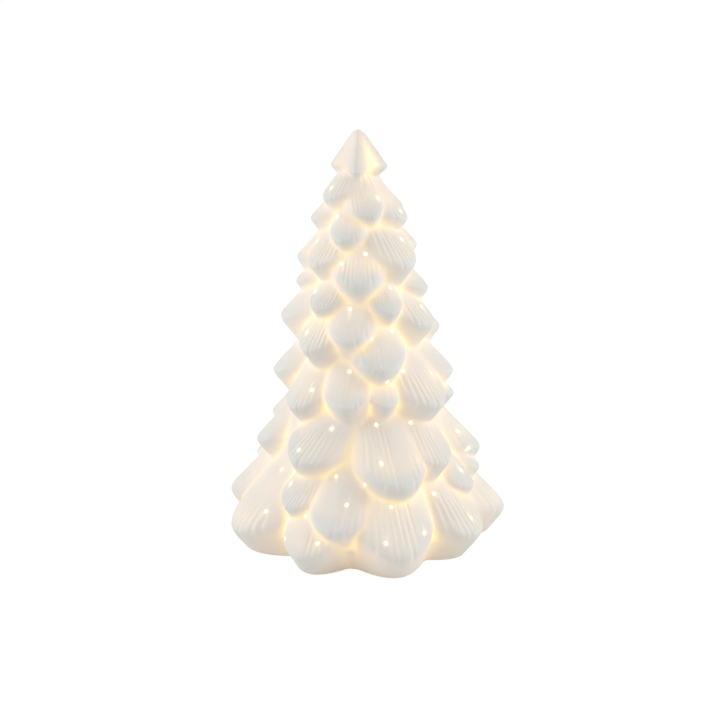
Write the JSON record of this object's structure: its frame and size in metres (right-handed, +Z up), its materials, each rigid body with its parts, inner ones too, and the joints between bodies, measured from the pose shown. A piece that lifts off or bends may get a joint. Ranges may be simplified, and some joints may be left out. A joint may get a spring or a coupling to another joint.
{
  "type": "ceramic christmas tree",
  "caption": "White bisque porcelain Christmas tree with overlapping pierced branches, lit from inside by a battery lamp behind a hinged door in its foot.",
  "frame": {"origin": "centre of the foot, in the plane the tree stands on", "axes": "+Z up along the trunk, -Y towards the front of the tree, +X to the right"},
  "size_m": [0.1481, 0.1479, 0.2209],
  "materials": {
    "bisque_porcelain": "matte unglazed bisque",
    "clear_silicone": "translucent matte",
    "ivory_abs": "fine moulded texture",
    "black_abs": "satin",
    "cell_sleeve": "printed sleeve over a can",
    "nickel_plate": "plated sheet",
    "circuit_board": "solder mask",
    "white_board": "white solder mask",
    "epoxy_black": "moulded epoxy",
    "resistor_body": "lacquer",
    "zinc_screw": "zinc plated",
    "frosted_acrylic": "frosted",
    "warm_led": "phosphor over a chip",
    "red_insulation": "vinyl",
    "black_insulation": "vinyl"
  },
  "bodies": {
    "tree": {"porcelain_shell": "bisque_porcelain", "sealing_ring": "clear_silicone", "base_housing": "ivory_abs", "left_cell": "cell_sleeve", "middle_cell": "cell_sleeve", "right_cell": "cell_sleeve", "negative_terminal": "nickel_plate", "positive_terminal": "nickel_plate", "rear_link": "nickel_plate", "front_link": "nickel_plate", "control_board": "circuit_board", "slide_switch": "black_abs", "timer_chip": "epoxy_black", "timer_crystal": "nickel_plate", "series_resistor": "resistor_body", "board_screws": "zinc_screw", "top_cover": "ivory_abs", "cover_screws": "zinc_screw", "light_tube": "frosted_acrylic", "led_strip_board": "white_board", "strip_leds": "warm_led", "tube_cap": "ivory_abs", "top_led": "warm_led", "lamp_wire_red": "red_insulation", "lamp_wire_black": "black_insulation", "battery_wire_red": "red_insulation", "battery_wire_black": "black_insulation"},
    "door": {"battery_door": "ivory_abs"},
    "knob": {"switch_knob": "black_abs"}
  },
  "joints": [
    {"name": "door_hinge", "type": "hinge", "parent": "tree", "child": "door", "pos_m": [0, 0.02835, 0.0027], "axis": [1, 0, 0], "range_deg": [0, 95]},
    {"name": "switch_slide", "type": "slide", "parent": "tree", "child": "knob", "axis": [0, 1, 0], "range_m": [0, 0.005]}
  ]
}
